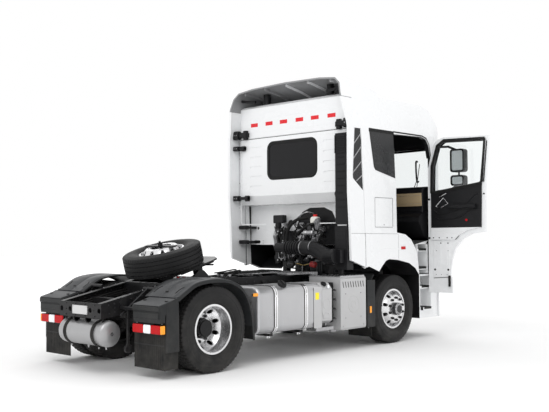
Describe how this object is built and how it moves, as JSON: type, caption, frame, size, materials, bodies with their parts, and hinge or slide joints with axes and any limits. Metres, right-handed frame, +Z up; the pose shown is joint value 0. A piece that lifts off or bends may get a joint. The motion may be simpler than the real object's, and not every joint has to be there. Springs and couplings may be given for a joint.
{
  "type": "semi truck tractor unit",
  "caption": "High-roof sleeper cab-over tractor unit with twin rear wheels, tilted fifth wheel carrying a spare, fuel tank, catwalk, fairings and one open door.",
  "frame": {"origin": "centre of the kingpin's place on the fifth wheel's top face, parked with its rear edge down", "axes": "+Z up, +Y to the truck's rear, +X to the truck's left"},
  "size_m": [3.9802, 6.3139, 3.995],
  "materials": {
    "white_paint": "gloss",
    "grey_frame": "satin",
    "polished_alloy": "polished",
    "tank_alloy": "satin",
    "tyre": "matte",
    "black_plastic": "matte",
    "grey_plastic": "matte",
    "silver_plastic": "satin",
    "cast_iron": "rough",
    "engine_metal": "rough",
    "lamp_lens": "gloss",
    "chequer_plate": "satin",
    "rubber": "matte",
    "glass": "clear",
    "cabin_trim": "matte",
    "fabric": "woven"
  },
  "bodies": {
    "chassis": {"frame": "grey_frame", "tow_jaw": "cast_iron", "rear_axle": "cast_iron", "front_axle": "cast_iron", "engine": "engine_metal", "fuel_tank": "tank_alloy", "exhaust_box": "silver_plastic", "urea_tank": "silver_plastic", "battery_box": "black_plastic", "air_tanks": "tank_alloy", "catwalk": "chequer_plate", "rear_fenders": "grey_plastic", "mud_flaps": "rubber", "lamps": "lamp_lens", "bumper": "white_paint", "air_cleaner": "black_plastic"},
    "coupling": {"fifth_wheel": "cast_iron", "spare_tyre": "tyre", "spare_rim": "polished_alloy"},
    "cab": {"cab_floor": "black_plastic", "cab_sides": "white_paint", "cab_rear_wall": "white_paint", "cab_roof": "white_paint", "cab_front": "white_paint", "cab_glass": "glass", "roof_deflector": "white_paint", "side_fairings": "white_paint", "cab_intake": "black_plastic", "mirrors": "black_plastic", "dashboard": "cabin_trim", "seats_and_bunk": "fabric"},
    "left_door": {"door_left": "white_paint", "door_trim_left": "black_plastic", "door_glass_left": "glass"},
    "right_door": {"door_right": "white_paint", "door_trim_right": "black_plastic", "door_glass_right": "glass"},
    "service_lid": {"front_lid": "white_paint"},
    "left_knuckle": {"knuckle_left": "cast_iron"},
    "right_knuckle": {"knuckle_right": "cast_iron"},
    "front_left_wheel": {"front_tyre_left": "tyre", "front_rim_left": "polished_alloy"},
    "front_right_wheel": {"front_tyre_right": "tyre", "front_rim_right": "polished_alloy"},
    "rear_left_wheels": {"rear_tyres_left": "tyre", "rear_rims_left": "polished_alloy"},
    "rear_right_wheels": {"rear_tyres_right": "tyre", "rear_rims_right": "polished_alloy"}
  },
  "joints": [
    {"name": "fifth_wheel_tilt", "type": "hinge", "parent": "chassis", "child": "coupling", "pos_m": [0, -0.03015, -0.11098], "axis": [1, 0, 0], "range_deg": [0, 27]},
    {"name": "cab_tilt", "type": "hinge", "parent": "chassis", "child": "cab", "pos_m": [0, -4.60015, -0.47098], "axis": [1, 0, 0], "range_deg": [0, 55]},
    {"name": "left_door_hinge", "type": "hinge", "parent": "cab", "child": "left_door", "pos_m": [1.231, -4.20015, 0.64902], "axis": [0, 0, -1], "range_deg": [0, 95]},
    {"name": "right_door_hinge", "type": "hinge", "parent": "cab", "child": "right_door", "pos_m": [-1.231, -4.20015, 0.64902], "axis": [0, 0, 1], "range_deg": [-95, 0]},
    {"name": "service_lid_hinge", "type": "hinge", "parent": "cab", "child": "service_lid", "pos_m": [0, -4.67115, 0.49302], "axis": [-1, 0, 0], "range_deg": [0, 75]},
    {"name": "left_steer", "type": "hinge", "parent": "chassis", "child": "left_knuckle", "pos_m": [0.86, -3.28015, -0.74898], "axis": [0, 0, 1], "range_deg": [-40, 40]},
    {"name": "right_steer", "type": "hinge", "parent": "chassis", "child": "right_knuckle", "pos_m": [-0.86, -3.28015, -0.74898], "axis": [0, 0, 1], "range_deg": [-40, 40]},
    {"name": "front_left_spin", "type": "hinge", "parent": "left_knuckle", "child": "front_left_wheel", "pos_m": [1.02, -3.28015, -0.74898], "axis": [1, 0, 0], "continuous": true},
    {"name": "front_right_spin", "type": "hinge", "parent": "right_knuckle", "child": "front_right_wheel", "pos_m": [-1.02, -3.28015, -0.74898], "axis": [1, 0, 0], "continuous": true},
    {"name": "rear_left_spin", "type": "hinge", "parent": "chassis", "child": "rear_left_wheels", "pos_m": [0.93, 0.51985, -0.74898], "axis": [1, 0, 0], "continuous": true},
    {"name": "rear_right_spin", "type": "hinge", "parent": "chassis", "child": "rear_right_wheels", "pos_m": [-0.93, 0.51985, -0.74898], "axis": [1, 0, 0], "continuous": true}
  ],
  "couplings": [
    {"joint": "right_steer", "follows": "left_steer", "ratio": 1}
  ]
}
